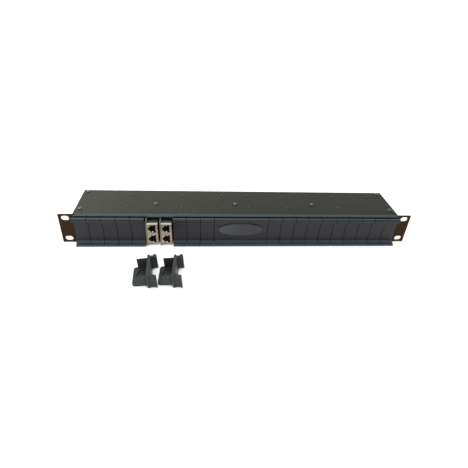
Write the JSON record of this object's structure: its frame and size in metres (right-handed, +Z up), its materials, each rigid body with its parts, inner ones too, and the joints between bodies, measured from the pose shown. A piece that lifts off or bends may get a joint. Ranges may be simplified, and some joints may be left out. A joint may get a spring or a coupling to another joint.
{
  "type": "rack-mount module chassis",
  "caption": "Low rack chassis with rack ears, snap-in covers along its front, plug-in line protection modules with sideways jacks and an oval badge plate.",
  "frame": {"origin": "centre of the four rack slots, on the front faces of the ears", "axes": "+X to the right seen from the front, +Y into the rack, +Z up"},
  "size_m": [0.4826, 0.1778, 0.0452],
  "materials": {
    "black_paint": "fine texture black powder coat",
    "cover_plastic": "moulded matt black",
    "comb_plastic": "moulded matt",
    "rivet_steel": "dull",
    "zinc_steel": "zinc plated",
    "tinned_copper": "tin plated",
    "shield_plate": "nickel plated, satin",
    "jack_plastic": "moulded, satin",
    "contact_gold": "gold plated",
    "board_green": "solder mask",
    "board_parts": "ceramic and moulded",
    "badge_enamel": "blank, semi-gloss dome"
  },
  "bodies": {
    "chassis": {"bottom_pan": "black_paint", "lid": "black_paint", "upper_comb_front": "comb_plastic", "upper_comb_rear": "comb_plastic", "lower_comb_front": "comb_plastic", "lower_comb_rear": "comb_plastic", "lid_rivets": "rivet_steel", "ground_bar": "tinned_copper", "lid_screws": "zinc_steel", "bar_screws": "zinc_steel", "ground_stud": "zinc_steel", "ground_nut": "zinc_steel", "loose_cover_1": "cover_plastic", "loose_cover_2": "cover_plastic"},
    "cover_01_body": {"cover_01": "cover_plastic"},
    "cover_02_body": {"cover_02": "cover_plastic"},
    "cover_03_body": {"cover_03": "cover_plastic"},
    "cover_04_body": {"cover_04": "cover_plastic"},
    "cover_05_body": {"cover_05": "cover_plastic"},
    "cover_08_body": {"cover_08": "cover_plastic"},
    "cover_09_body": {"cover_09": "cover_plastic"},
    "cover_10_body": {"cover_10": "cover_plastic"},
    "cover_15_body": {"cover_15": "cover_plastic"},
    "cover_16_body": {"cover_16": "cover_plastic"},
    "cover_17_body": {"cover_17": "cover_plastic"},
    "cover_18_body": {"cover_18": "cover_plastic"},
    "cover_19_body": {"cover_19": "cover_plastic"},
    "cover_20_body": {"cover_20": "cover_plastic"},
    "cover_21_body": {"cover_21": "cover_plastic"},
    "cover_22_body": {"cover_22": "cover_plastic"},
    "cover_23_body": {"cover_23": "cover_plastic"},
    "cover_24_body": {"cover_24": "cover_plastic"},
    "badge_plate_body": {"badge_plate": "cover_plastic", "badge": "badge_enamel"},
    "module_1_body": {"module_1_bracket": "zinc_steel", "module_1_jack_housing": "jack_plastic", "module_1_jack_shield": "shield_plate", "module_1_contacts": "contact_gold", "module_1_board": "board_green", "module_1_board_parts": "board_parts"},
    "module_2_body": {"module_2_bracket": "zinc_steel", "module_2_jack_housing": "jack_plastic", "module_2_jack_shield": "shield_plate", "module_2_contacts": "contact_gold", "module_2_board": "board_green", "module_2_board_parts": "board_parts"}
  },
  "joints": [
    {"name": "cover_01_pull", "type": "slide", "parent": "chassis", "child": "cover_01_body", "axis": [0, -1, 0], "range_m": [0, 0.025]},
    {"name": "cover_02_pull", "type": "slide", "parent": "chassis", "child": "cover_02_body", "axis": [0, -1, 0], "range_m": [0, 0.025]},
    {"name": "cover_03_pull", "type": "slide", "parent": "chassis", "child": "cover_03_body", "axis": [0, -1, 0], "range_m": [0, 0.025]},
    {"name": "cover_04_pull", "type": "slide", "parent": "chassis", "child": "cover_04_body", "axis": [0, -1, 0], "range_m": [0, 0.025]},
    {"name": "cover_05_pull", "type": "slide", "parent": "chassis", "child": "cover_05_body", "axis": [0, -1, 0], "range_m": [0, 0.025]},
    {"name": "cover_08_pull", "type": "slide", "parent": "chassis", "child": "cover_08_body", "axis": [0, -1, 0], "range_m": [0, 0.025]},
    {"name": "cover_09_pull", "type": "slide", "parent": "chassis", "child": "cover_09_body", "axis": [0, -1, 0], "range_m": [0, 0.025]},
    {"name": "cover_10_pull", "type": "slide", "parent": "chassis", "child": "cover_10_body", "axis": [0, -1, 0], "range_m": [0, 0.025]},
    {"name": "cover_15_pull", "type": "slide", "parent": "chassis", "child": "cover_15_body", "axis": [0, -1, 0], "range_m": [0, 0.025]},
    {"name": "cover_16_pull", "type": "slide", "parent": "chassis", "child": "cover_16_body", "axis": [0, -1, 0], "range_m": [0, 0.025]},
    {"name": "cover_17_pull", "type": "slide", "parent": "chassis", "child": "cover_17_body", "axis": [0, -1, 0], "range_m": [0, 0.025]},
    {"name": "cover_18_pull", "type": "slide", "parent": "chassis", "child": "cover_18_body", "axis": [0, -1, 0], "range_m": [0, 0.025]},
    {"name": "cover_19_pull", "type": "slide", "parent": "chassis", "child": "cover_19_body", "axis": [0, -1, 0], "range_m": [0, 0.025]},
    {"name": "cover_20_pull", "type": "slide", "parent": "chassis", "child": "cover_20_body", "axis": [0, -1, 0], "range_m": [0, 0.025]},
    {"name": "cover_21_pull", "type": "slide", "parent": "chassis", "child": "cover_21_body", "axis": [0, -1, 0], "range_m": [0, 0.025]},
    {"name": "cover_22_pull", "type": "slide", "parent": "chassis", "child": "cover_22_body", "axis": [0, -1, 0], "range_m": [0, 0.025]},
    {"name": "cover_23_pull", "type": "slide", "parent": "chassis", "child": "cover_23_body", "axis": [0, -1, 0], "range_m": [0, 0.025]},
    {"name": "cover_24_pull", "type": "slide", "parent": "chassis", "child": "cover_24_body", "axis": [0, -1, 0], "range_m": [0, 0.025]},
    {"name": "badge_plate_pull", "type": "slide", "parent": "chassis", "child": "badge_plate_body", "axis": [0, -1, 0], "range_m": [0, 0.025]},
    {"name": "module_1_pull", "type": "slide", "parent": "chassis", "child": "module_1_body", "axis": [0, -1, 0], "range_m": [0, 0.04]},
    {"name": "module_2_pull", "type": "slide", "parent": "chassis", "child": "module_2_body", "axis": [0, -1, 0], "range_m": [0, 0.04]}
  ]
}
